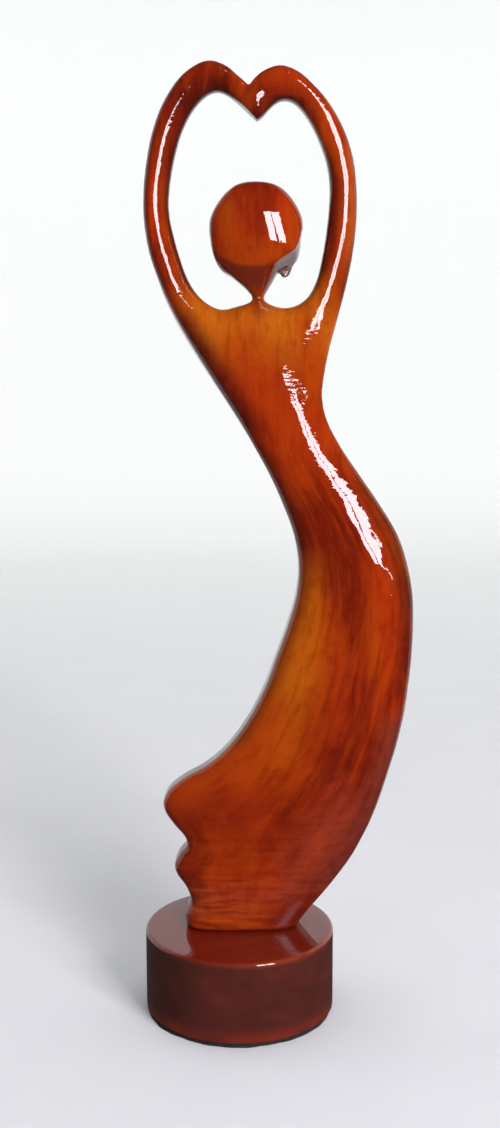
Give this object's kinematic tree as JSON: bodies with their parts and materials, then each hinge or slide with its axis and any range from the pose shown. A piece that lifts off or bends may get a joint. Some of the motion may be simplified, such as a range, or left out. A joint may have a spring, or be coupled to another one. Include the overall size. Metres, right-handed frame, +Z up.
{
  "type": "wooden figurine",
  "caption": "Slender carved wooden dancer with arms raised in a heart-topped loop round a plain ball head, on a round turned plinth with a felt pad.",
  "frame": {"origin": "centre of the felt pad's underside, on the plinth's axis", "axes": "+Z up, the front of the figure looks along -Y, +X to the side the hip swells towards"},
  "size_m": [0.1128, 0.08, 0.3915],
  "materials": {
    "figure_wood": "amber to red-brown stain under thick glossy varnish",
    "plinth_wood": "dark red-brown stain under thick glossy varnish",
    "black_felt": "matt black felt, cut by hand"
  },
  "bodies": {
    "root": {"figure": "figure_wood", "plinth": "plinth_wood", "felt_pad": "black_felt"}
  },
  "joints": []
}
